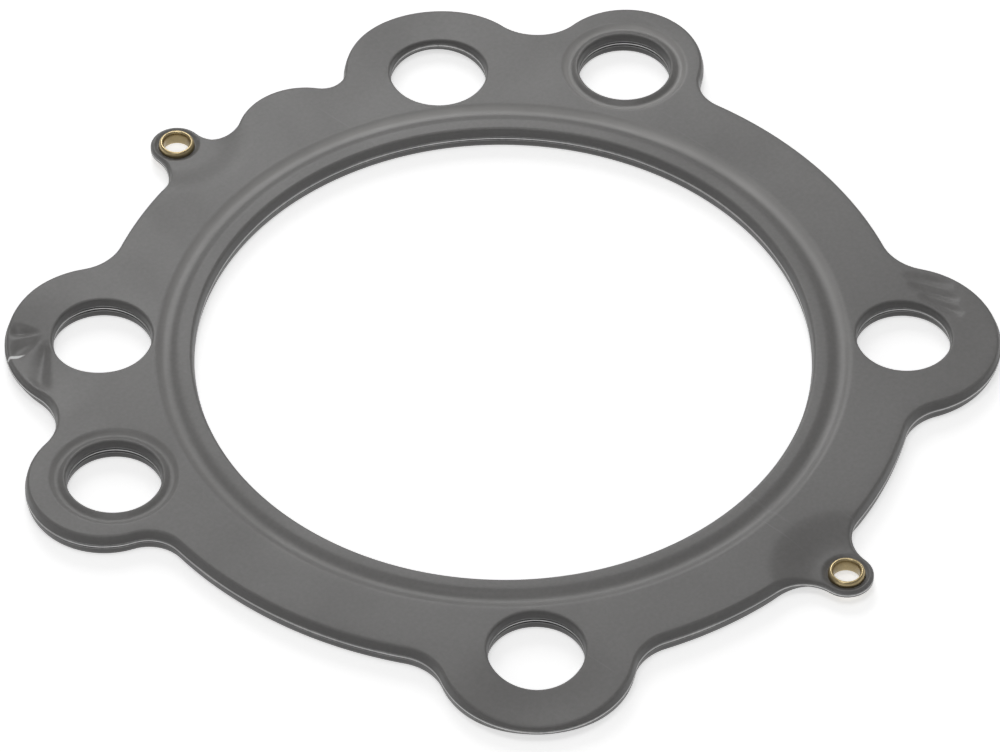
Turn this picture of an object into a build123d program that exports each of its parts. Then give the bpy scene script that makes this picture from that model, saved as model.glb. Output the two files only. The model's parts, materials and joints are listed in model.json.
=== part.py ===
from build123d import *
from math import atan2, cos, degrees, hypot, radians, sin, sqrt
import os

# A multi-layer steel cylinder head gasket: two beaded sheets of spring steel with a flat shim
# between them, held as a pack by two rolled brass eyelets.
# The origin is on the bore axis at the underside, +Z runs along the bore, and the two eyelets
# lie on the Y axis. A bearing is in degrees, clockwise from +Y as seen from above.

os.makedirs("parts", exist_ok=True)

# Bore and the band of metal round it
bore_radius = 49.2
band_width = 16.7

# Bolt holes: a setback is from the edge of the bore to the hole's centre
bolt_setback = 14.8
narrow_pair_bearing = 39.1
wide_pair_bearing = 180 - 44.16
narrow_pair_hole_radius = 7.8
wide_pair_hole_radius = 7.45
bolt_lobe_radius = 15.6

# Oil holes, each in a lobe whose centre lies a little further out than the hole's
oil_bearing = 66.0
oil_setback = 18.0
oil_hole_radius = 7.4
oil_lobe_setback = 19.4
oil_lobe_radius = 12.7

# Solid bump beside the first ear, which has no hole
bump_bearing = 14.7
bump_setback = 8.8
bump_radius = 11.4

# Ears that carry the eyelets
ear_setback = 21.8
ear_radius = 4.25

# Concave radii of the outline
lobe_fillet = 8.0
oil_fillet = 6.0
ear_fillet = 6.5
bump_fillet = 3.5
bump_ear_fillet = 4.0

# Sheets: in the free pack each outer sheet stands off the shim, and meets it only at the ears
sheet_gauge = 0.25
shim_gauge = 0.25
free_gap = 1.6

# Bead round the bore: a flat land at the hole's edge, then a valley pressed towards the shim
bead_depth = 0.45
bore_land = 2.2
bore_inner_flank = 2.1
bore_outer_flank = 1.7

# Bead round each oil hole
oil_land = 0.5
oil_flank = 1.0

# Flat crest of every bead, which meets the shim when the bolts close the pack
crest_width = 0.4

# Dish that brings each outer sheet to the shim at an ear
dish_floor_radius = 4.6
dish_flank = 6.0

# Level ring of sheet that every pressed zone ends in
level_margin = 0.5

# Rolled eyelets: a thin barrel whose ends roll outwards, each roll on a short straight foot
eyelet_bore_radius = 2.05
eyelet_wall = 0.3
eyelet_clearance = 0.05
eyelet_roll_width = 0.95
eyelet_foot = 0.5


def place(setback, bearing):
    """Point at a setback outside the edge of the bore, on a bearing."""
    reach = bore_radius + setback
    return (reach * sin(radians(bearing)), reach * cos(radians(bearing)))


def section_plane(centre):
    """Upright plane through a hole's axis, with x the distance from that axis and y the height."""
    return Plane(origin=(*centre, 0), x_dir=(1, 0, 0), z_dir=(0, -1, 0))


def upright_axis(centre):
    return Axis((*centre, 0), (0, 0, 1))


def heading(origin, target):
    """Direction in degrees from one point to another."""
    return degrees(atan2(target[1] - origin[1], target[0] - origin[0]))


def fillet_centre(pad, following):
    """Centre of the circle outside two neighbouring pads that touches both."""
    (x, y), radius, fillet_radius = pad
    (next_x, next_y), next_radius, _ = following
    reach = radius + fillet_radius
    next_reach = next_radius + fillet_radius
    spacing = hypot(next_x - x, next_y - y)
    along = (spacing**2 + reach**2 - next_reach**2) / (2 * spacing)
    aside = sqrt(reach**2 - along**2)
    step_x = (next_x - x) / spacing
    step_y = (next_y - y) / spacing
    return (x + along * step_x + aside * step_y, y + along * step_y - aside * step_x)


def bead_section(hole_radius, land, inner_flank, outer_flank):
    """Strip of sheet from a hole's edge, across the land and through the valley of its bead."""
    valley = hole_radius + land
    crest = valley + inner_flank
    crest_end = crest + crest_width
    shoulder = crest_end + outer_flank
    with BuildSketch() as section:
        with BuildLine():
            Polyline(
                (hole_radius, sheet_seat),
                (valley, sheet_seat),
                (crest, crest_level),
                (crest_end, crest_level),
                (shoulder, sheet_seat),
                (shoulder + level_margin, sheet_seat),
            )
            offset(amount=sheet_gauge, side=Side.LEFT, kind=Kind.INTERSECTION)
        make_face()
    return section.sketch


# Heights of the stack, from the underside up
shim_bottom = sheet_gauge + free_gap
shim_top = shim_bottom + shim_gauge
sheet_seat = shim_top + free_gap
crest_level = sheet_seat - bead_depth
total_height = sheet_seat + sheet_gauge
mid_height = total_height / 2

# Centres of the features
bore_centre = (0, 0)
narrow_bolts = [place(bolt_setback, narrow_pair_bearing), place(bolt_setback, -narrow_pair_bearing)]
wide_bolts = [place(bolt_setback, wide_pair_bearing), place(bolt_setback, -wide_pair_bearing)]
oil_holes = [place(oil_setback, oil_bearing), place(oil_setback, -oil_bearing)]
oil_lobes = [place(oil_lobe_setback, oil_bearing), place(oil_lobe_setback, -oil_bearing)]
bump_centre = place(bump_setback, bump_bearing)
ears = [place(ear_setback, 0), place(ear_setback, 180)]

# Reach of each pressed zone from its own centre
bore_bead_width = bore_land + bore_inner_flank + crest_width + bore_outer_flank
bore_bead_rim = bore_radius + bore_bead_width + level_margin
oil_bead_width = oil_land + oil_flank + crest_width + oil_flank
oil_bead_rim = oil_hole_radius + oil_bead_width + level_margin
dish_shoulder = dish_floor_radius + dish_flank
dish_rim = dish_shoulder + level_margin
barrel_radius = eyelet_bore_radius + eyelet_wall
roll_radius = eyelet_bore_radius + eyelet_roll_width
eyelet_hole_radius = barrel_radius + eyelet_clearance

# The outline is a chain of round pads, counterclockwise from the first ear. Each entry holds the
# pad's centre, its radius and the radius of the fillet to the pad that follows it.
band_radius = bore_radius + band_width
pads = [
    (ears[0], ear_radius, ear_fillet),
    (bore_centre, band_radius, lobe_fillet),
    (narrow_bolts[1], bolt_lobe_radius, lobe_fillet),
    (oil_lobes[1], oil_lobe_radius, oil_fillet),
    (bore_centre, band_radius, lobe_fillet),
    (wide_bolts[1], bolt_lobe_radius, lobe_fillet),
    (bore_centre, band_radius, ear_fillet),
    (ears[1], ear_radius, ear_fillet),
    (bore_centre, band_radius, lobe_fillet),
    (wide_bolts[0], bolt_lobe_radius, lobe_fillet),
    (bore_centre, band_radius, oil_fillet),
    (oil_lobes[0], oil_lobe_radius, lobe_fillet),
    (narrow_bolts[0], bolt_lobe_radius, bump_fillet),
    (bump_centre, bump_radius, bump_ear_fillet),
]
fillet_centres = [fillet_centre(pad, following) for pad, following in zip(pads, pads[1:] + pads[:1])]

with BuildSketch() as blank:
    with BuildLine():
        for index, (centre, radius, fillet_radius) in enumerate(pads):
            before = fillet_centres[index - 1]
            after = fillet_centres[index]
            following = pads[(index + 1) % len(pads)][0]
            pad_start = heading(centre, before)
            pad_sweep = (heading(centre, after) - pad_start) % 360
            CenterArc(centre, radius, pad_start, pad_sweep)
            fillet_start = heading(after, centre)
            fillet_sweep = (fillet_start - heading(after, following)) % 360
            CenterArc(after, fillet_radius, fillet_start, -fillet_sweep)
    make_face()
    Circle(bore_radius, mode=Mode.SUBTRACT)
    with Locations(*narrow_bolts):
        Circle(narrow_pair_hole_radius, mode=Mode.SUBTRACT)
    with Locations(*wide_bolts):
        Circle(wide_pair_hole_radius, mode=Mode.SUBTRACT)
    with Locations(*oil_holes):
        Circle(oil_hole_radius, mode=Mode.SUBTRACT)
    with Locations(*ears):
        Circle(eyelet_hole_radius, mode=Mode.SUBTRACT)

bore_bead = bead_section(bore_radius, bore_land, bore_inner_flank, bore_outer_flank)
oil_bead = bead_section(oil_hole_radius, oil_land, oil_flank, oil_flank)

# Section of the dish at an ear: a floor that lies on the shim and a conical flank up
with BuildSketch() as dish:
    with BuildLine():
        Polyline(
            (eyelet_hole_radius, shim_top),
            (dish_floor_radius, shim_top),
            (dish_shoulder, sheet_seat),
            (dish_rim, sheet_seat),
        )
        offset(amount=sheet_gauge, side=Side.LEFT, kind=Kind.INTERSECTION)
    make_face()

dishes = []
for centre in ears:
    with BuildPart() as pressed_ear:
        with BuildSketch(section_plane(centre)):
            add(dish.sketch)
        revolve(axis=upright_axis(centre))
        with BuildSketch():
            add(blank.sketch)
        extrude(amount=total_height, mode=Mode.INTERSECT)
    dishes.append(pressed_ear.part)

with BuildPart() as top_sheet:
    with BuildSketch(Plane.XY.offset(sheet_seat)):
        add(blank.sketch)
        Circle(bore_bead_rim, mode=Mode.SUBTRACT)
        with Locations(*oil_holes):
            Circle(oil_bead_rim, mode=Mode.SUBTRACT)
        with Locations(*ears):
            Circle(dish_rim, mode=Mode.SUBTRACT)
    extrude(amount=sheet_gauge)
    with BuildSketch(section_plane(bore_centre)):
        add(bore_bead)
    revolve(axis=upright_axis(bore_centre))
    for centre in oil_holes:
        with BuildSketch(section_plane(centre)):
            add(oil_bead)
        revolve(axis=upright_axis(centre))
    add(dishes)
top_sheet.part.label = "top_sheet"
export_step(top_sheet.part, "parts/top_sheet.step")

# The lower sheet mirrors the upper one, so that both sets of beads close on the shim from opposite sides
with BuildPart() as bottom_sheet:
    mirror(top_sheet.part, about=Plane.XY.offset(mid_height))
bottom_sheet.part.label = "bottom_sheet"
export_step(bottom_sheet.part, "parts/bottom_sheet.step")

with BuildPart() as middle_shim:
    with BuildSketch(Plane.XY.offset(shim_bottom)):
        add(blank.sketch)
    extrude(amount=shim_gauge)
middle_shim.part.label = "middle_shim"
export_step(middle_shim.part, "parts/middle_shim.step")

# Eyelet section: a barrel through the pack, rolled tight at both ends, with the foot of each roll
# on the floor of a dish
dish_top = shim_top + sheet_gauge
dish_bottom = shim_bottom - sheet_gauge
roll_top = dish_top + eyelet_foot
roll_bottom = dish_bottom - eyelet_foot
with BuildSketch() as eyelet_section:
    with BuildLine():
        Line((roll_radius, dish_top), (roll_radius, roll_top))
        TangentArc((roll_radius, roll_top), (eyelet_bore_radius, roll_top), tangent=(0, 1))
        Line((eyelet_bore_radius, roll_top), (eyelet_bore_radius, roll_bottom))
        TangentArc((eyelet_bore_radius, roll_bottom), (roll_radius, roll_bottom), tangent=(0, -1))
        Polyline(
            (roll_radius, roll_bottom),
            (roll_radius, dish_bottom),
            (barrel_radius, dish_bottom),
            (barrel_radius, dish_top),
            (roll_radius, dish_top),
        )
    make_face()

for number, centre in enumerate(ears, start=1):
    with BuildPart() as eyelet:
        with BuildSketch(section_plane(centre)):
            add(eyelet_section.sketch)
        revolve(axis=upright_axis(centre))
    eyelet.part.label = f"eyelet_{number}"
    export_step(eyelet.part, f"parts/eyelet_{number}.step")
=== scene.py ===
import json
import math

import bmesh
import bpy
import numpy as np
from mathutils import Matrix, Vector, noise
from mathutils.geometry import delaunay_2d_cdt


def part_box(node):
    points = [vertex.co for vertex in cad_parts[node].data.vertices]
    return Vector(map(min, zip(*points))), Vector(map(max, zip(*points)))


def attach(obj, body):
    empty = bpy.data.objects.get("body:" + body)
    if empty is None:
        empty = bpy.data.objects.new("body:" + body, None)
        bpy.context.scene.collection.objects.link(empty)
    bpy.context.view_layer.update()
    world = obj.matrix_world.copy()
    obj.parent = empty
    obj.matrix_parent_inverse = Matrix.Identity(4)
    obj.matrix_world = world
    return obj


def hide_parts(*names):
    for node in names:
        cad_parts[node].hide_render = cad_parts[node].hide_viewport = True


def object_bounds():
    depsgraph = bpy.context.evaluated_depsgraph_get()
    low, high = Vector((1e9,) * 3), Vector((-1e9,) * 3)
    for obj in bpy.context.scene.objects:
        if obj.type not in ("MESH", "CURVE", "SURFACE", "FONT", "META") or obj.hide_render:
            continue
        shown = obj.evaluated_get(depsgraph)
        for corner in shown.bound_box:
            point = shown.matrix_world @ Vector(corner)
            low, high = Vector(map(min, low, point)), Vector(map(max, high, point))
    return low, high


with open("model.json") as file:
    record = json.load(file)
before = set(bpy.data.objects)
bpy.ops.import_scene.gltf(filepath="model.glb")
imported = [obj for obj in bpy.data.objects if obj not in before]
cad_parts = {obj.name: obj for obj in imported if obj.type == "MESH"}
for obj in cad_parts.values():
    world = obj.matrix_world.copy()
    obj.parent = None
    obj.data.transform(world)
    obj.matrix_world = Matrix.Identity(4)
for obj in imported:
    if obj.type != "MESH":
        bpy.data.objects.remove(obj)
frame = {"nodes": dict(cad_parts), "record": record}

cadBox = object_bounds()
mounts = {mount["name"]: mount for mount in frame["record"]["mounts"]}
print("frame loaded:", sorted(frame["nodes"]))


# Plan of the gasket, in metres. Bearings run clockwise from +Y, setbacks from the edge of the bore.
gasket = {
    "boreRadius": mounts["bore"]["dims"]["r_mm"] / 1000,
    "bandWidth": 0.0167,
    "boltSetback": 0.0148,
    "narrowBearing": 39.1,
    "wideBearing": 180 - 44.16,
    "narrowHoleRadius": mounts["bolts_narrow"]["dims"]["hole_r_mm"] / 1000,
    "wideHoleRadius": mounts["bolts_wide"]["dims"]["hole_r_mm"] / 1000,
    "boltLobeRadius": 0.0156,
    "oilBearing": 66.0,
    "oilSetback": 0.018,
    "oilHoleRadius": mounts["oil_hole_right"]["dims"]["r_mm"] / 1000,
    "oilLobeSetback": 0.0194,
    "oilLobeRadius": 0.0127,
    "bumpBearing": 14.7,
    "bumpSetback": 0.0088,
    "bumpRadius": 0.0114,
    "earSetback": 0.0218,
    "earRadius": 0.00425,
    "eyeletHoleRadius": 0.0024,
    "lobeFillet": 0.008,
    "oilFillet": 0.006,
    "earFillet": 0.0065,
    "bumpFillet": 0.0035,
    "bumpEarFillet": 0.004,
}


def place(setback, bearing):
    reach = gasket["boreRadius"] + setback
    return np.array([reach * math.sin(math.radians(bearing)), reach * math.cos(math.radians(bearing))])


centre = np.zeros(2)
narrowBolts = [place(gasket["boltSetback"], side * gasket["narrowBearing"]) for side in (1, -1)]
wideBolts = [place(gasket["boltSetback"], side * gasket["wideBearing"]) for side in (1, -1)]
oilHoles = [place(gasket["oilSetback"], side * gasket["oilBearing"]) for side in (1, -1)]
oilLobes = [place(gasket["oilLobeSetback"], side * gasket["oilBearing"]) for side in (1, -1)]
bump = place(gasket["bumpSetback"], gasket["bumpBearing"])
ears = [place(gasket["earSetback"], bearing) for bearing in (0, 180)]


def heading(origin, target):
    return math.atan2(target[1] - origin[1], target[0] - origin[0])


def arcCount(radius, sweep, spacing):
    return max(2, round(radius * sweep / spacing))


def arcPoints(middle, radius, start, sweep, count):
    angles = start + sweep * np.arange(count) / count  # the last point belongs to the next arc
    return middle + radius * np.column_stack([np.cos(angles), np.sin(angles)])


def filletCentre(pad, following):
    # centre of the circle outside two neighbouring pads that touches both
    reach, nextReach = pad[1] + pad[2], following[1] + pad[2]
    apart = following[0] - pad[0]
    spacing = float(np.hypot(*apart))
    along = (spacing**2 + reach**2 - nextReach**2) / (2 * spacing)
    aside = math.sqrt(reach**2 - along**2)
    step = apart / spacing
    return pad[0] + along * step + aside * np.array([step[1], -step[0]])


def outlineLoop(inset, spacing):
    # a chain of round pads, counterclockwise from the first ear, with a tangent fillet after each
    band = gasket["boreRadius"] + gasket["bandWidth"]
    bolt, oil, ear = gasket["boltLobeRadius"], gasket["oilLobeRadius"], gasket["earRadius"]
    lobeFillet, oilFillet, earFillet = gasket["lobeFillet"], gasket["oilFillet"], gasket["earFillet"]
    pads = [
        (ears[0], ear, earFillet),
        (centre, band, lobeFillet),
        (narrowBolts[1], bolt, lobeFillet),
        (oilLobes[1], oil, oilFillet),
        (centre, band, lobeFillet),
        (wideBolts[1], bolt, lobeFillet),
        (centre, band, earFillet),
        (ears[1], ear, earFillet),
        (centre, band, lobeFillet),
        (wideBolts[0], bolt, lobeFillet),
        (centre, band, oilFillet),
        (oilLobes[0], oil, lobeFillet),
        (narrowBolts[0], bolt, gasket["bumpFillet"]),
        (bump, gasket["bumpRadius"], gasket["bumpEarFillet"]),
    ]
    fillets = [filletCentre(pads[i], pads[(i + 1) % len(pads)]) for i in range(len(pads))]
    runs = []
    for i, (middle, radius, fillet) in enumerate(pads):
        before, after, following = fillets[i - 1], fillets[i], pads[(i + 1) % len(pads)][0]
        start = heading(middle, before)
        sweep = (heading(middle, after) - start) % (2 * math.pi)
        runs.append(arcPoints(middle, radius - inset, start, sweep, arcCount(radius, sweep, spacing)))
        start = heading(after, middle)
        sweep = (start - heading(after, following)) % (2 * math.pi)
        runs.append(arcPoints(after, fillet + inset, start, -sweep, arcCount(fillet, sweep, spacing)))
    return np.vstack(runs)


def holeLoop(middle, radius, inset, spacing):
    return arcPoints(middle, radius + inset, 0, -2 * math.pi, round(2 * math.pi * radius / spacing))


def sheetLoops(inset, spacing):
    # the outline first, then the bore, the bolt holes, the oil holes and the eyelet holes
    loops = [outlineLoop(inset, spacing), holeLoop(centre, gasket["boreRadius"], inset, spacing)]
    loops += [holeLoop(hole, gasket["narrowHoleRadius"], inset, spacing) for hole in narrowBolts]
    loops += [holeLoop(hole, gasket["wideHoleRadius"], inset, spacing) for hole in wideBolts]
    loops += [holeLoop(hole, gasket["oilHoleRadius"], inset, spacing) for hole in oilHoles]
    loops += [holeLoop(ear, gasket["eyeletHoleRadius"], inset, spacing / 2) for ear in ears]
    return loops


# Heights of the stack, read from the frame
shimLow, shimHigh = (corner.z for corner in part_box("middle_shim"))
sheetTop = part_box("top_sheet")[1].z


# Pressed forms of an outer sheet, in metres and degrees
pressing = {
    "gauge": 0.00025,
    "beadDepth": 0.00045,
    "boreLand": 0.0022,
    "boreInnerFlank": 0.0021,
    "boreOuterFlank": 0.0017,
    "oilLand": 0.0005,
    "oilFlank": 0.001,
    "crestWidth": 0.0004,
    "dishFloor": 0.0046,
    "dishFlank": 0.0082,
    "rimWidth": 0.0008,  # at the outline and the bore
    "holeRimWidth": 0.00055,  # at the bolt and oil holes
    "rimDrop": 0.00182,
    "rimPower": 4,  # the higher, the tighter the turn at the rim
    "earLift": 0.00042,
    "earLiftStart": 0.0031,
    "earLiftWidth": 0.0008,
    "fanCentre": (-0.0453, 0.0568),
    "fanSector": (220, 350),
    "fanSectorFade": (0.12, 0.1),  # share of the sector over which the folds set in and end
    "fanReach": (0.0008, 0.0153),
    "fanReachFade": (0.0035, 0.002),
    "fanFolds": 3.0,
    "fanDepth": 0.0006,
    "fanSpacingWander": (0.5, 9),  # amount and rate
    "fanDepthWander": (0.2, 17, 1),  # amount, rate and shift
    "fanTwist": 70,  # turn of the folds for each metre outwards
    "ladderRidges": [  # each from one (bearing, radius) about the hole to another, and its height
        ((54, 0.0117), (98, 0.0121), -0.0005),
        ((66, 0.0097), (112, 0.0108), -0.0005),
        ((50, 0.0136), (86, 0.0139), -0.0003),
    ],
    "ladderWidth": 0.00075,
    "pinches": [  # place, reach and drop
        ((0.0492, 0.0606), 0.020, 0.00105),
        ((-0.0544, -0.0559), 0.018, 0.0011),
        ((-0.0525, 0.0567), 0.016, 0.0009),
        ((0.0600, -0.0620), 0.032, 0.0007),
    ],
    "waviness": 0.00004,
    "wavinessScale": 45,
    "wavinessLevel": 3.1,
}
sheetSeat = sheetTop - pressing["gauge"]
freeGap = sheetSeat - shimHigh

# How finely a sheet is meshed. Each pair of steps is from ring to ring and along a ring.
meshing = {
    "loopSpacing": 0.0006,
    "bevel": 0.00004,
    "coarseStep": 0.0016,
    "fineStep": 0.00045,
    "keepOff": 0.0003,
    "shimFactor": 4,  # how much coarser the flat shim is
    "rimRows": (0.00009, 0.00016, 0.00025, 0.00037, 0.00054, 0.0008),
    "firstRing": 0.0003,
    "boreZone": 0.0068,
    "boreSteps": (0.0003, 0.0008),
    "oilZone": 0.0032,
    "oilSteps": (0.00022, 0.0005),
    "earFirstRing": 0.0004,
    "earFloorSteps": (0.00025, 0.0005),
    "earFlankStart": 0.0048,
    "earFlankSteps": (0.0005, 0.0006),
    "earMargin": 0.0006,
    "fanPatch": 0.0165,
    "ladderPatch": 0.0078,
    "ladderPatchOffset": (0.0105, 0.001),
    "batch": 2000,
    "millimetres": 1000.0,
    "weld": 1e-6,  # in millimetres
}


def ease(t):
    return 0.5 - 0.5 * np.cos(math.pi * np.clip(t, 0, 1))


def distanceFrom(points, middle):
    return np.hypot(points[:, 0] - middle[0], points[:, 1] - middle[1])


def inBatches(measure, points):
    # a share of the points at a time keeps the distance tables small
    starts = range(0, len(points), meshing["batch"])
    return np.concatenate([measure(points[start : start + meshing["batch"]]) for start in starts])


def valley(distance, start, innerFlank, outerFlank):
    down = ease((distance - start) / innerFlank)
    up = ease((distance - start - innerFlank - pressing["crestWidth"]) / outerFlank)
    return down - up


def ridge(points, hole, run, width):
    start, end, height = run
    ends = []
    for bearing, radius in (start, end):
        angle = math.radians(bearing)
        ends.append(hole + radius * np.array([math.sin(angle), math.cos(angle)]))
    along = ends[1] - ends[0]
    t = np.clip(((points - ends[0]) @ along) / (along @ along), 0, 1)
    away = np.hypot(*(points - ends[0] - t[:, None] * along).T)
    return height * (1 - (2 * t - 1) ** 2) * np.exp(-(away / width) ** 2)


def fanFolds(points, hole):
    # folds that spread from the hole's edge to the rim, uneven in spacing and depth
    away = points - np.array(pressing["fanCentre"])
    radius = np.hypot(away[:, 0], away[:, 1])
    start, end = pressing["fanSector"]
    t = (np.degrees(np.arctan2(away[:, 0], away[:, 1])) % 360 - start) / (end - start)
    startFade, endFade = pressing["fanSectorFade"]
    (inner, outer), (innerFade, outerFade) = pressing["fanReach"], pressing["fanReachFade"]
    envelope = ease(t / startFade) * ease((1 - t) / endFade) * ease((radius - inner) / innerFade)
    envelope = envelope * ease((outer - distanceFrom(points, hole)) / outerFade)
    amount, rate = pressing["fanSpacingWander"]
    wave = 2 * math.pi * pressing["fanFolds"] * t
    wave = wave + amount * np.sin(rate * t) + pressing["fanTwist"] * radius
    amount, rate, shift = pressing["fanDepthWander"]
    uneven = 1 - amount + amount * np.sin(rate * t + shift)
    return pressing["fanDepth"] * envelope * (0.5 - 0.5 * np.cos(wave)) * uneven


def edgeDistance(points, loops):
    ends = np.vstack(loops)
    runs = np.vstack([np.roll(loop, -1, axis=0) - loop for loop in loops])
    lengths = (runs**2).sum(axis=1)

    def nearest(part):
        dx, dy = part[:, :1] - ends[:, 0], part[:, 1:] - ends[:, 1]
        t = np.clip((dx * runs[:, 0] + dy * runs[:, 1]) / lengths, 0, 1)
        return np.hypot(dx - t * runs[:, 0], dy - t * runs[:, 1]).min(axis=1)

    return inBatches(nearest, points)


def pressedOffset(points):
    # how far the upper sheet leaves its flat level, negative towards the shim
    fromBore = distanceFrom(points, centre) - gasket["boreRadius"]
    depth = valley(fromBore, pressing["boreLand"], pressing["boreInnerFlank"], pressing["boreOuterFlank"])
    for hole in oilHoles:
        fromHole = distanceFrom(points, hole) - gasket["oilHoleRadius"]
        oilValley = valley(fromHole, pressing["oilLand"], pressing["oilFlank"], pressing["oilFlank"])
        depth = np.maximum(depth, oilValley)
    offset = -pressing["beadDepth"] * depth
    flat = 1 - depth
    for ear in ears:
        fromEar = distanceFrom(points, ear)
        sunk = 1 - ease((fromEar - pressing["dishFloor"]) / pressing["dishFlank"])
        lifted = ease((fromEar - pressing["earLiftStart"]) / pressing["earLiftWidth"])
        offset = np.minimum(offset, (pressing["earLift"] * lifted - freeGap) * sunk)
        flat = np.minimum(flat, 1 - sunk)
    for middle, reach, drop in pressing["pinches"]:
        offset = offset - drop * (1 - ease(distanceFrom(points, middle) / reach)) * flat
    loops = sheetLoops(0, meshing["loopSpacing"])[:-2]  # the eyelet holes lie in the dishes
    turned = np.maximum(
        np.clip(1 - edgeDistance(points, loops[:2]) / pressing["rimWidth"], 0, 1),
        np.clip(1 - edgeDistance(points, loops[2:]) / pressing["holeRimWidth"], 0, 1),
    )
    offset = offset - pressing["rimDrop"] * turned ** pressing["rimPower"]
    offset = offset - fanFolds(points, narrowBolts[1])
    for run in pressing["ladderRidges"]:
        offset = offset + ridge(points, wideBolts[0], run, pressing["ladderWidth"])
    scale, level = pressing["wavinessScale"], pressing["wavinessLevel"]
    ripple = np.array([noise.noise(Vector((x * scale, y * scale, level))) for x, y in points])
    offset = offset + pressing["waviness"] * ripple * flat
    return np.clip(offset, -freeGap, 0)


def insideLoop(points, loop):
    x, y = points[:, :1], points[:, 1:]
    ax, ay = loop[:, 0][None], loop[:, 1][None]
    bx, by = np.roll(loop[:, 0], -1)[None], np.roll(loop[:, 1], -1)[None]
    tiny = 1e-15  # keeps a level edge from dividing by zero
    crosses = ((ay > y) != (by > y)) & (x < (bx - ax) * (y - ay) / (by - ay + tiny) + ax)
    return crosses.sum(axis=1) % 2 == 1


def insideSheet(points, loops):
    result = insideLoop(points, loops[0])
    for loop in loops[1:]:
        result &= ~insideLoop(points, loop)
    return result


def hexGrid(low, high, step):
    rows = np.arange(low[1], high[1], step * math.sqrt(3) / 2)
    points = []
    for index, y in enumerate(rows):
        xs = np.arange(low[0] + (index % 2) * step / 2, high[0], step)
        points.append(np.column_stack([xs, np.full(len(xs), y)]))
    return np.vstack(points)


def ringPoints(middle, inner, outer, steps):
    radialStep, arcStep = steps
    rings = []
    for index, radius in enumerate(np.arange(inner, outer, radialStep)):
        count = round(2 * math.pi * radius / arcStep)
        rings.append(arcPoints(middle, radius, (index % 2) * math.pi / count, 2 * math.pi, count))
    return np.vstack(rings)


def pressedPoints(low, high):
    # rings on the beads and dishes, fine patches on the folds and streaks, a coarse grid elsewhere
    boreEdge, oilEdge = gasket["boreRadius"], gasket["oilHoleRadius"]
    boreRim = boreEdge + meshing["boreZone"]
    oilRim = oilEdge + meshing["oilZone"]
    earEdge, earFloor = gasket["eyeletHoleRadius"], pressing["dishFloor"]
    earRim = earFloor + pressing["dishFlank"] + meshing["earMargin"]
    patches = [
        (narrowBolts[1], meshing["fanPatch"]),
        (wideBolts[0] + np.array(meshing["ladderPatchOffset"]), meshing["ladderPatch"]),
    ]
    coarse = hexGrid(low, high, meshing["coarseStep"])
    keep = distanceFrom(coarse, centre) > boreRim
    for middle, radius in [(hole, oilRim) for hole in oilHoles] + [(ear, earRim) for ear in ears] + patches:
        keep &= distanceFrom(coarse, middle) > radius
    groups = [coarse[keep]]
    groups.append(ringPoints(centre, boreEdge + meshing["firstRing"], boreRim, meshing["boreSteps"]))
    for hole in oilHoles:
        groups.append(ringPoints(hole, oilEdge + meshing["firstRing"], oilRim, meshing["oilSteps"]))
    for ear in ears:
        earStart = earEdge + meshing["earFirstRing"]
        groups.append(ringPoints(ear, earStart, earFloor, meshing["earFloorSteps"]))
        groups.append(ringPoints(ear, meshing["earFlankStart"], earRim, meshing["earFlankSteps"]))
    for middle, radius in patches:
        patch = hexGrid(middle - radius, middle + radius, meshing["fineStep"])
        patch = patch[distanceFrom(patch, middle) < radius]
        groups.append(patch[distanceFrom(patch, centre) > boreRim])
    return np.vstack(groups)


def innerPoints(loops, pressed):
    low, high = loops[0].min(axis=0), loops[0].max(axis=0)
    if pressed:
        candidates = pressedPoints(low, high)
        keepOff = pressing["rimWidth"] + meshing["keepOff"]
        rows = [loop for inset in meshing["rimRows"] for loop in sheetLoops(inset, meshing["loopSpacing"])]
    else:
        candidates = hexGrid(low, high, meshing["shimFactor"] * meshing["coarseStep"])
        keepOff = meshing["shimFactor"] * meshing["keepOff"]
        rows = []
    candidates = candidates[insideSheet(candidates, loops)]
    edge = np.vstack(loops)

    def nearest(part):
        return np.hypot(part[:, :1] - edge[:, 0], part[:, 1:] - edge[:, 1]).min(axis=1)

    return np.vstack([candidates[inBatches(nearest, candidates) > keepOff]] + rows)


def planMesh(pressed):
    # one flat triangulation of the sheet, inset by the bevel, and the loops at the true edge
    loops = sheetLoops(meshing["bevel"], meshing["loopSpacing"])
    points = np.vstack(loops + [innerPoints(loops, pressed)])
    numbers, first = [], 0
    for loop in loops:
        numbers.append(list(range(first, first + len(loop))))
        first += len(loop)
    edges = [edge for ring in numbers for edge in zip(ring, ring[1:] + ring[:1])]
    scale = meshing["millimetres"]
    result = delaunay_2d_cdt([Vector(point) * scale for point in points], edges, [], 0, meshing["weld"])
    flat = np.array([(vertex.x, vertex.y) for vertex in result[0]]) / scale
    triangles = np.array(result[2])
    triangles = triangles[insideSheet(flat[triangles].mean(axis=1), loops)]
    origin = {old: new for new, olds in enumerate(result[3]) for old in olds}
    rings = [[origin[number] for number in ring] for ring in numbers]
    return flat, triangles, rings, sheetLoops(0, meshing["loopSpacing"])


def addObject(name, data):
    item = bpy.data.objects.new(name, data)
    bpy.context.scene.collection.objects.link(item)
    return item


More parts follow.
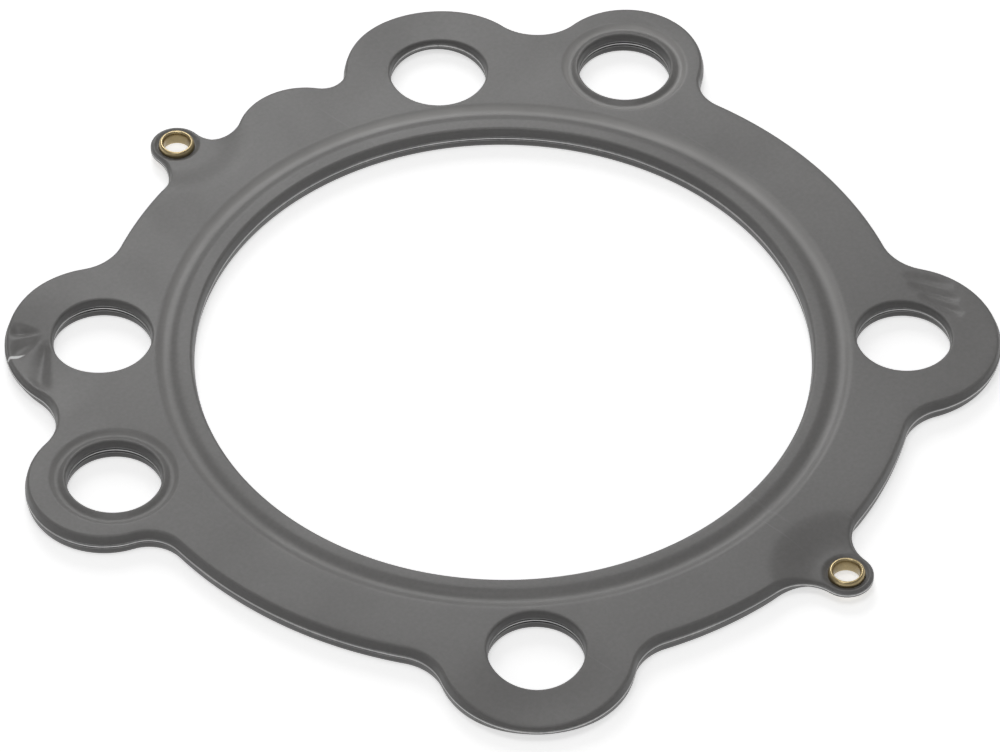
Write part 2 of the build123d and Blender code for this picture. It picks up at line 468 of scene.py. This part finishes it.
def sheetObject(name, plan, under, materials):
    # the plan at both faces of the sheet, joined by a cut edge with a small bevel above and below
    flat, triangles, rings, trueEdge = plan
    bevel, count = meshing["bevel"], len(flat)
    over = under + pressing["gauge"]
    verts = [np.column_stack([flat, over]), np.column_stack([flat, under])]
    faces = [tuple(t) for t in triangles] + [tuple(t[::-1] + count) for t in triangles]
    slots = [0] * len(faces)
    used = 2 * count
    for ring, loop in zip(rings, trueEdge):
        verts += [np.column_stack([loop, over[ring] - bevel]), np.column_stack([loop, under[ring] + bevel])]
        size = len(ring)
        for i in range(size):
            j = (i + 1) % size
            a, b = ring[i], ring[j]
            faces.append((b, a, used + i, used + j))
            faces.append((used + j, used + i, used + size + i, used + size + j))
            faces.append((used + size + j, used + size + i, a + count, b + count))
        slots += [1] * (3 * size)
        used += 2 * size
    mesh = bpy.data.meshes.new(name)
    mesh.from_pydata(np.vstack(verts).tolist(), [], faces)
    mesh.polygons.foreach_set("material_index", slots)
    mesh.polygons.foreach_set("use_smooth", [True] * len(faces))
    mesh.update()
    work = bmesh.new()
    work.from_mesh(mesh)
    bmesh.ops.recalc_face_normals(work, faces=work.faces)
    for edge in work.edges:
        linked = edge.link_faces
        edge.smooth = len(linked) == 2 and linked[0].material_index == linked[1].material_index
    work.to_mesh(mesh)
    work.free()
    for material in materials:
        mesh.materials.append(material)
    print(name, "has", len(mesh.polygons), "faces")
    return addObject(name, mesh)


# Node helpers
def newMaterial(name):
    material = bpy.data.materials.new(name)
    material.use_nodes = True
    nodes = material.node_tree.nodes
    nodes.clear()
    output = nodes.new("ShaderNodeOutputMaterial")
    shader = nodes.new("ShaderNodeBsdfPrincipled")
    material.node_tree.links.new(shader.outputs["BSDF"], output.inputs["Surface"])
    return material, material.node_tree, shader


def addNode(tree, kind, **settings):
    node = tree.nodes.new(kind)
    for key, value in settings.items():
        setattr(node, key, value)
    return node


def setInputs(tree, node, values):
    # a value is a plain one or the output of another node
    for key, value in values.items():
        if isinstance(value, bpy.types.NodeSocket):
            tree.links.new(value, node.inputs[key])
        else:
            node.inputs[key].default_value = value


def noiseNode(tree, coordinates, scale, detail, roughness=0.55, distortion=0.0):
    node = addNode(tree, "ShaderNodeTexNoise")
    setInputs(tree, node, {
        "Vector": coordinates,
        "Scale": scale,
        "Detail": detail,
        "Roughness": roughness,
        "Distortion": distortion,
    })
    return node.outputs["Fac"]


def mapRange(tree, value, fromLow, fromHigh, toLow, toHigh, curve="LINEAR"):
    node = addNode(tree, "ShaderNodeMapRange", interpolation_type=curve)
    setInputs(tree, node, {
        "Value": value,
        "From Min": fromLow,
        "From Max": fromHigh,
        "To Min": toLow,
        "To Max": toHigh,
    })
    return node.outputs["Result"]


def mottle(tree, coordinates, scale, detail, cut=(0.3, 0.7), to=(0, 1), **settings):
    # noise whose part between the two cuts is stretched to the new range
    return mapRange(tree, noiseNode(tree, coordinates, scale, detail, **settings), *cut, *to)


def mixColors(tree, factor, first, second, blend="MIX"):
    node = addNode(tree, "ShaderNodeMix", data_type="RGBA", blend_type=blend)
    setInputs(tree, node, {0: factor, 6: first, 7: second})
    return node.outputs[2]


def combine(tree, operation, first, second=0):
    node = addNode(tree, "ShaderNodeMath", operation=operation)
    setInputs(tree, node, {0: first, 1: second})
    return node.outputs[0]


def vectorNode(tree, operation, first, second=(0, 0, 0)):
    node = addNode(tree, "ShaderNodeVectorMath", operation=operation)
    setInputs(tree, node, {0: first, 1: second})
    return node.outputs["Vector" if operation == "MULTIPLY" else "Value"]


def flattened(tree, coordinates):
    return vectorNode(tree, "MULTIPLY", coordinates, (1, 1, 0))


def stretched(tree, coordinates, scale, turn=0.0):
    node = addNode(tree, "ShaderNodeMapping")
    setInputs(tree, node, {"Vector": coordinates, "Rotation": (0, 0, turn), "Scale": scale})
    return node.outputs["Vector"]


def objectCoordinates(tree):
    return addNode(tree, "ShaderNodeTexCoord").outputs["Object"]


def greyOf(value, warmth=0.0):
    return (value * (1 + warmth), value, value * (1 - warmth), 1.0)


def newGroup(name, inputs, outputs):
    group = bpy.data.node_groups.new(name, "ShaderNodeTree")
    for direction, sockets in (("INPUT", inputs), ("OUTPUT", outputs)):
        for label, kind in sockets.items():
            group.interface.new_socket(label, in_out=direction, socket_type="NodeSocket" + kind)
    return group, addNode(group, "NodeGroupInput").outputs, addNode(group, "NodeGroupOutput")


def placeGroup(tree, group, values):
    node = addNode(tree, "ShaderNodeGroup", node_tree=group)
    setInputs(tree, node, values)
    return node.outputs


# Shared effect: fine scratches and rubs from handling
handling = {
    "scratchRuns": ((0.3, 900), (1.35, 700), (2.4, 1100)),  # turn of the scratches and their fineness
    "scratchLength": (14, 60),
    "scratchCut": (0.70, 0.78),
    "patchScale": 60,
    "patchCut": (0.45, 0.7),
    "smudgeScale": 34,
    "smudgeCut": (0.35, 0.68),
}


def buildHandlingGroup():
    group, given, leave = newGroup(
        "handlingMarks",
        {"Coordinates": "Vector", "Amount": "Float"},
        {"Scratches": "Float", "Smudges": "Float"},
    )
    coordinates = given["Coordinates"]
    marks = None
    for turn, fineness in handling["scratchRuns"]:
        runs = stretched(group, coordinates, (fineness, *handling["scratchLength"]), turn)
        line = mottle(group, runs, 1.0, 2.0, handling["scratchCut"], roughness=0.5)
        marks = line if marks is None else combine(group, "MAXIMUM", marks, line)
    patches = mottle(group, coordinates, handling["patchScale"], 3, handling["patchCut"])
    marks = combine(group, "MULTIPLY", marks, patches)
    marks = combine(group, "MULTIPLY", marks, given["Amount"])
    smudge = mottle(
        group, coordinates, handling["smudgeScale"], 5, handling["smudgeCut"], roughness=0.6, distortion=0.6
    )
    setInputs(group, leave, {"Scratches": marks, "Smudges": smudge})
    return group


# Shared effect: 1 on level faces, falling to the shade where a face stands upright
def buildUprightGroup():
    group, given, leave = newGroup(
        "uprightShade",
        {"Normal": "Vector", "Low": "Float", "High": "Float", "Shade": "Float"},
        {"Level": "Float"},
    )
    facing = addNode(group, "ShaderNodeSeparateXYZ")
    setInputs(group, facing, {"Vector": given["Normal"]})
    level = combine(group, "ABSOLUTE", facing.outputs["Z"])
    level = mapRange(group, level, given["Low"], given["High"], given["Shade"], 1)
    setInputs(group, leave, {"Level": level})
    return group


# Shared effect: the fine relief of a surface
def buildGrainGroup():
    group, given, leave = newGroup(
        "fineGrain",
        {
            "Coordinates": "Vector",
            "Scale": "Float",
            "Detail": "Float",
            "Roughness": "Float",
            "Strength": "Float",
            "Depth": "Float",
        },
        {"Normal": "Vector"},
    )
    height = noiseNode(group, given["Coordinates"], given["Scale"], given["Detail"], given["Roughness"])
    relief = addNode(group, "ShaderNodeBump")
    setInputs(group, relief, {"Height": height, "Strength": given["Strength"], "Distance": given["Depth"]})
    setInputs(group, leave, {"Normal": relief.outputs["Normal"]})
    return group


# Shared effect: bare steel with the fine drag of the punch
shearing = {"drag": (1800, 1800, 300), "patchScale": 120, "patchCut": (0.35, 0.65), "patches": (0.2, 1)}


def buildShearGroup():
    group, given, leave = newGroup(
        "shearedSteel",
        {"Coordinates": "Vector", "Dull": "Color", "Bright": "Color"},
        {"Color": "Color", "Drag": "Float"},
    )
    coordinates = given["Coordinates"]
    drag = mottle(group, stretched(group, coordinates, shearing["drag"]), 1.0, 2)
    patch = mottle(group, coordinates, shearing["patchScale"], 3, shearing["patchCut"], shearing["patches"])
    blendIn = combine(group, "MULTIPLY", drag, patch)
    color = mixColors(group, blendIn, given["Dull"], given["Bright"])
    setInputs(group, leave, {"Color": color, "Drag": drag})
    return group


handlingMarks = buildHandlingGroup()
uprightShade = buildUprightGroup()
fineGrain = buildGrainGroup()
shearedSteel = buildShearGroup()


def handled(tree, coordinates, amount):
    return placeGroup(tree, handlingMarks, {"Coordinates": coordinates, "Amount": amount})


def shadeUpright(tree, base, shade, cut):
    low, high = cut
    normal = addNode(tree, "ShaderNodeNewGeometry").outputs["Normal"]
    level = placeGroup(tree, uprightShade, {"Normal": normal, "Low": low, "High": high, "Shade": shade})
    return mixColors(tree, 1.0, base, level["Level"], "MULTIPLY")


def grainNormal(tree, coordinates, grain):
    return placeGroup(tree, fineGrain, {"Coordinates": coordinates, **grain})["Normal"]


# Thin rubber coating on the outer sheets
coating = {
    "grey": 0.185,
    "paleGrey": 0.215,
    "warmth": 0.02,
    "cloudScale": 22,
    "speckleScale": 1500,
    "speckle": (0.95, 1.05),
    "flankHighlightGrey": 0.44,
    "boreFlank": (0.0543, 0.0017),  # radius and width of the painted highlight ring on the bead flank; the oil holes' ring below likewise
    "oilFlank": (0.0096, 0.0011),
    "flankPatchScale": 60,
    "flankPatches": (0.6, 1),
    "highlightLean": (0.755, 0.656, 0),  # the painted highlight is strongest on this side
    "highlightLeanCut": (-0.01, 0.045),
    "highlightLeast": 0.25,
    "rimShade": 0.52,
    "rimCut": (0.2, 0.75),
    "scratches": 0.3,
    "scratchGrey": 0.34,
    "paintedGlints": [((-0.0524, 0.0574), 302, 0.0018, 0.0004)],  # painted glints along fold crests: place, bearing, length and width
    "glintCut": (0.6, 1.0),
    "glintGrey": 0.9,
    "roughness": (0.36, 0.46),
    "specular": 0.45,
    "grain": {"Scale": 2600, "Detail": 3, "Roughness": 0.6, "Strength": 0.5, "Depth": 0.000012},
}


def ringMask(tree, coordinates, middle, radius, width):
    away = vectorNode(tree, "DISTANCE", flattened(tree, coordinates), (middle[0], middle[1], 0))
    beside = combine(tree, "ABSOLUTE", combine(tree, "SUBTRACT", away, radius))
    return mapRange(tree, beside, 0, width, 1, 0, "SMOOTHSTEP")


def glintMask(tree, coordinates, middle, bearing, length, width):
    local = addNode(tree, "ShaderNodeMapping", vector_type="TEXTURE")
    setInputs(tree, local, {
        "Vector": coordinates,
        "Location": (middle[0], middle[1], 0),
        "Rotation": (0, 0, math.radians(90 - bearing)),
        "Scale": (length, width, 1),
    })
    away = vectorNode(tree, "LENGTH", flattened(tree, local.outputs["Vector"]))
    return mapRange(tree, away, *coating["glintCut"], 1, 0)


# Painted highlight: pale rings on the outer flanks of the beads, in patches and stronger on one side
def paintedFlankHighlight(tree, coordinates):
    rings = ringMask(tree, coordinates, centre, *coating["boreFlank"])
    for hole in oilHoles:
        rings = combine(tree, "MAXIMUM", rings, ringMask(tree, coordinates, hole, *coating["oilFlank"]))
    patches = mottle(tree, coordinates, coating["flankPatchScale"], 3, to=coating["flankPatches"])
    rings = combine(tree, "MULTIPLY", rings, patches)
    lean = vectorNode(tree, "DOT_PRODUCT", coordinates, coating["highlightLean"])
    lean = mapRange(tree, lean, *coating["highlightLeanCut"], coating["highlightLeast"], 1)
    return combine(tree, "MULTIPLY", rings, lean)


def coatedSteel():
    material, tree, shader = newMaterial("coatedSheet")
    coordinates = objectCoordinates(tree)
    warmth = coating["warmth"]
    marks = handled(tree, coordinates, coating["scratches"])
    cloudy = mottle(tree, coordinates, coating["cloudScale"], 3, roughness=0.5, distortion=0.4)
    base = mixColors(tree, cloudy, greyOf(coating["grey"], warmth), greyOf(coating["paleGrey"], warmth))
    speckle = mottle(tree, coordinates, coating["speckleScale"], 2, to=coating["speckle"])
    base = mixColors(tree, 1.0, base, speckle, "MULTIPLY")
    # painted highlight on the bead flanks
    base = mixColors(tree, paintedFlankHighlight(tree, coordinates), base, greyOf(coating["flankHighlightGrey"], warmth))
    base = mixColors(tree, marks["Scratches"], base, greyOf(coating["scratchGrey"]))
    base = shadeUpright(tree, base, coating["rimShade"], coating["rimCut"])
    # a painted glint along a fold crest
    for glint in coating["paintedGlints"]:
        base = mixColors(tree, glintMask(tree, coordinates, *glint), base, greyOf(coating["glintGrey"]))
    setInputs(tree, shader, {
        "Base Color": base,
        "Roughness": mapRange(tree, marks["Smudges"], 0, 1, *coating["roughness"]),
        "Normal": grainNormal(tree, coordinates, coating["grain"]),
        "Specular IOR Level": coating["specular"],
    })
    return material


# Sheared edges of the coated sheets and of the shim
cutEdge = {"dull": 0.16, "bright": 0.30, "warmth": 0.01, "roughness": (0.35, 0.55)}
shimEdge = {"dull": 0.5, "bright": 0.72, "warmth": 0.01, "roughness": (0.35, 0.55)}


def shearedEdge(name, finish):
    material, tree, shader = newMaterial(name)
    dull, bright = greyOf(finish["dull"]), greyOf(finish["bright"], finish["warmth"])
    edge = placeGroup(
        tree, shearedSteel, {"Coordinates": objectCoordinates(tree), "Dull": dull, "Bright": bright}
    )
    setInputs(tree, shader, {
        "Base Color": edge["Color"],
        "Metallic": 1.0,
        "Roughness": mapRange(tree, edge["Drag"], 0, 1, *finish["roughness"]),
    })
    return material


# Rolled shim stock
shimSteel = {
    "light": 0.62,
    "dark": 0.5,
    "rolling": (25, 2200, 25),
    "rollingCut": (0.2, 0.8),
    "roughness": (0.45, 0.62),
    "scratches": 0.5,
    "scratchGrey": 0.6,
}


def rolledShim():
    material, tree, shader = newMaterial("rolledShim")
    coordinates = objectCoordinates(tree)
    marks = handled(tree, coordinates, shimSteel["scratches"])
    lines = noiseNode(tree, stretched(tree, coordinates, shimSteel["rolling"]), 1.0, 3)
    base = mixColors(tree, lines, greyOf(shimSteel["dark"]), greyOf(shimSteel["light"]))
    setInputs(tree, shader, {
        "Base Color": mixColors(tree, marks["Scratches"], base, greyOf(shimSteel["scratchGrey"])),
        "Metallic": 1.0,
        "Roughness": mapRange(tree, lines, *shimSteel["rollingCut"], *shimSteel["roughness"]),
    })
    return material


# Rolled brass of the eyelets
brass = {
    "clean": (0.66, 0.53, 0.30, 1.0),
    "tarnish": (0.48, 0.38, 0.21, 1.0),
    "tarnishScale": 350,
    "tarnishCut": (0.42, 0.72),
    "tarnishAmount": 0.6,
    "scratches": 0.2,
    "scratchColor": (0.85, 0.72, 0.48, 1.0),
    "uprightShade": 0.5,
    "uprightCut": (0.15, 0.7),
    "roughness": (0.27, 0.47),
    "grain": {"Scale": 700, "Detail": 2, "Roughness": 0.55, "Strength": 0.06, "Depth": 0.000003},
}


def rolledBrass():
    material, tree, shader = newMaterial("rolledBrass")
    coordinates = objectCoordinates(tree)
    marks = handled(tree, coordinates, brass["scratches"])
    spread = (0, brass["tarnishAmount"])
    stain = mottle(tree, coordinates, brass["tarnishScale"], 3, brass["tarnishCut"], spread, roughness=0.5)
    base = mixColors(tree, stain, brass["clean"], brass["tarnish"])
    base = mixColors(tree, marks["Scratches"], base, brass["scratchColor"])
    setInputs(tree, shader, {
        "Base Color": shadeUpright(tree, base, brass["uprightShade"], brass["uprightCut"]),
        "Metallic": 1.0,
        "Roughness": mapRange(tree, stain, *spread, *brass["roughness"]),
        "Normal": grainNormal(tree, coordinates, brass["grain"]),
    })
    return material


coated = coatedSteel()
coatedEdge = shearedEdge("coatedEdge", cutEdge)
brightEdge = shearedEdge("brightEdge", shimEdge)

pressedPlan = planMesh(True)
shimPlan = planMesh(False)
print("sheet plan:", len(pressedPlan[0]), "points and", len(pressedPlan[1]), "triangles")

upperUnder = sheetSeat + pressedOffset(pressedPlan[0])
lowerUnder = shimLow + shimHigh - upperUnder - pressing["gauge"]  # the upper sheet, mirrored
shimUnder = np.full(len(shimPlan[0]), shimLow)
sheets = [
    ("topSheet", "top_sheet", pressedPlan, upperUnder, coated, coatedEdge, "coated_sheet"),
    ("bottomSheet", "bottom_sheet", pressedPlan, lowerUnder, coated, coatedEdge, "coated_sheet"),
    ("middleShim", "middle_shim", shimPlan, shimUnder, rolledShim(), brightEdge, "shim_steel"),
]
for name, node, plan, under, material, edge, slot in sheets:
    piece = sheetObject(name, plan, under, [material, edge])
    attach(piece, "root")
    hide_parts(node)


# Eyelets. The crown is half of the rolled section, from its foot on the sheet over the top and down the
# bore, as a radius and a rise above the sheet.
eyelet = {
    "barrel": 0.00235,
    "segments": 112,
    "sharpAngle": 50,
    "unevenness": 0.000003,
    "unevenScale": (2.5, 150),  # round the eyelet and for each metre of height
    "unevenShift": 100,  # makes the two eyelets differ
    "crown": [
        (0.00298, 0.0),
        (0.00297, 0.00022),
        (0.00293, 0.00042),
        (0.00286, 0.0006),
        (0.00277, 0.00076),
        (0.00267, 0.00088),
        (0.00256, 0.00095),
        (0.00245, 0.000975),
        (0.00234, 0.00094),
        (0.00225, 0.00085),
        (0.00217, 0.00069),
        (0.00211, 0.00047),
        (0.00207, 0.00022),
        (0.00205, 0.0),
    ],
}


def eyeletObject(name, middle, low, high, material):
    # low and high are the two faces of the pack that the rolls stand on
    upper = [(radius, high + rise) for radius, rise in eyelet["crown"]]
    lower = [(radius, low - rise) for radius, rise in reversed(eyelet["crown"])]
    section = upper + lower + [(eyelet["barrel"], low), (eyelet["barrel"], high)]
    count, size = eyelet["segments"], len(section)
    around, upwards = eyelet["unevenScale"]
    shift = Vector((middle[1] * eyelet["unevenShift"], 0, 0))
    verts = []
    for i in range(count):
        angle = 2 * math.pi * i / count
        ahead = Vector((math.cos(angle), math.sin(angle), 0))
        for radius, z in section:
            uneven = noise.noise(Vector((ahead.x * around, ahead.y * around, z * upwards)) + shift)
            reach = radius + eyelet["unevenness"] * uneven * (radius > eyelet["barrel"])
            verts.append((middle[0] + reach * ahead.x, middle[1] + reach * ahead.y, z))
    faces = []
    for i in range(count):
        for j in range(size):
            a, b = i * size, ((i + 1) % count) * size
            faces.append((a + j, b + j, b + (j + 1) % size, a + (j + 1) % size))
    mesh = bpy.data.meshes.new(name)
    mesh.from_pydata(verts, [], faces)
    work = bmesh.new()
    work.from_mesh(mesh)
    bmesh.ops.recalc_face_normals(work, faces=work.faces)
    work.to_mesh(mesh)
    work.free()
    mesh.polygons.foreach_set("use_smooth", [True] * len(mesh.polygons))
    mesh.set_sharp_from_angle(angle=math.radians(eyelet["sharpAngle"]))
    mesh.materials.append(material)
    return addObject(name, mesh)


brassFinish = rolledBrass()
lowSeat, highSeat = shimLow - pressing["gauge"], shimHigh + pressing["gauge"]
for number, ear in enumerate(ears, start=1):
    piece = eyeletObject(f"eyelet{number}", ear, lowSeat, highSeat, brassFinish)
    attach(piece, "root")
    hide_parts(f"eyelet_{number}")
print("pieces done")


# Floor, sky and lamps
studio = {
    "floorSize": 12.0,
    "floorDrop": 0.00005,
    "floorTone": 0.9,
    "floorRoughness": 0.8,
    "floorGlow": 0.6,
    "horizonTone": 0.6,
    "skyTone": 0.125,
    "skyCut": (0.05, 0.6),
    "overheadTone": 0.3,
    "overheadCut": (0.75, 1.0),
    "lamps": {  # place, size and power
        "keyLamp": ((0.41, 0.49, 0.56), 0.42, 1.85),
        "topLamp": ((-0.15, -0.05, 1.1), 0.35, 1.55),
        "fillLamp": ((-0.8, -0.2, 0.7), 0.5, 0.5),
    },
}


def buildFloor():
    mesh = bpy.data.meshes.new("floor")
    reach = studio["floorSize"] / 2
    corners = [(-reach, -reach, 0), (reach, -reach, 0), (reach, reach, 0), (-reach, reach, 0)]
    mesh.from_pydata(corners, [], [(0, 1, 2, 3)])
    floor = addObject("floor", mesh)
    floor.location.z = cadBox[0][2] - studio["floorDrop"]
    material, tree, shader = newMaterial("paleFloor")
    tone, roughness = greyOf(studio["floorTone"]), studio["floorRoughness"]
    setInputs(tree, shader, {"Base Color": tone, "Roughness": roughness})
    output = [node for node in tree.nodes if node.type == "OUTPUT_MATERIAL"][0]
    rays = addNode(tree, "ShaderNodeLightPath").outputs
    seen = combine(tree, "MAXIMUM", rays["Is Camera Ray"], rays["Is Glossy Ray"])
    seen = combine(tree, "MAXIMUM", seen, rays["Is Transmission Ray"])
    strength = combine(tree, "MULTIPLY", seen, studio["floorGlow"])
    glow = addNode(tree, "ShaderNodeEmission")
    setInputs(tree, glow, {"Color": (1, 1, 1, 1), "Strength": strength})
    both = addNode(tree, "ShaderNodeAddShader")
    setInputs(tree, both, {0: shader.outputs["BSDF"], 1: glow.outputs["Emission"]})
    setInputs(tree, output, {"Surface": both.outputs["Shader"]})
    mesh.materials.append(material)


def buildWorld():
    # a soft sky for the lighting, plain white where the camera sees it
    world = bpy.data.worlds.new("studioWorld")
    bpy.context.scene.world = world
    world.use_nodes = True
    tree = world.node_tree
    tree.nodes.clear()
    output = tree.nodes.new("ShaderNodeOutputWorld")
    height = addNode(tree, "ShaderNodeSeparateXYZ")
    setInputs(tree, height, {"Vector": addNode(tree, "ShaderNodeTexCoord").outputs["Generated"]})
    sky = mapRange(tree, height.outputs["Z"], *studio["skyCut"], studio["horizonTone"], studio["skyTone"])
    brighter = studio["overheadTone"] - studio["skyTone"]
    overhead = mapRange(tree, height.outputs["Z"], *studio["overheadCut"], 0, brighter)
    soft, white = addNode(tree, "ShaderNodeBackground"), addNode(tree, "ShaderNodeBackground")
    setInputs(tree, soft, {"Color": combine(tree, "ADD", sky, overhead)})
    setInputs(tree, white, {"Color": (1, 1, 1, 1)})
    rays = addNode(tree, "ShaderNodeLightPath").outputs
    mixing = addNode(tree, "ShaderNodeMixShader")
    setInputs(tree, mixing, {
        "Fac": rays["Is Camera Ray"],
        1: soft.outputs["Background"],
        2: white.outputs["Background"],
    })
    setInputs(tree, output, {"Surface": mixing.outputs["Shader"]})


def areaLamp(name, location, size, power):
    lamp = bpy.data.lights.new(name, "AREA")
    lamp.shape = "SQUARE"
    lamp.size = size
    lamp.energy = power
    item = addObject(name, lamp)
    item.location = location
    item.rotation_euler = (-Vector(location)).to_track_quat("-Z", "Y").to_euler()


# The camera looks down on the gasket from the side of the wide pair of bolt holes
view = {
    "azimuth": 49.016,
    "elevation": 46.535,
    "distance": 1.2695,
    "roll": 0.427,
    "aim": (-0.0050, -0.0037, cadBox[1][2]),
    "lens": 288.0,
    "sensor": 36.0,
    "clip": (0.05, 30),
}


def buildCamera():
    camera = addObject("camera", bpy.data.cameras.new("camera"))
    azimuth, elevation = math.radians(view["azimuth"]), math.radians(view["elevation"])
    level = math.cos(elevation)
    ahead = Vector((math.sin(azimuth) * level, math.cos(azimuth) * level, -math.sin(elevation)))
    camera.location = Vector(view["aim"]) - view["distance"] * ahead
    turn = ahead.to_track_quat("-Z", "Y").to_matrix()
    camera.rotation_euler = (turn @ Matrix.Rotation(math.radians(view["roll"]), 3, "Z")).to_euler()
    camera.data.lens = view["lens"]
    camera.data.sensor_width = view["sensor"]
    camera.data.clip_start, camera.data.clip_end = view["clip"]
    bpy.context.scene.camera = camera


buildFloor()
buildWorld()
for name, (location, size, power) in studio["lamps"].items():
    areaLamp(name, location, size, power)
buildCamera()
bpy.context.scene.view_settings.view_transform = "Standard"
print("studio done")
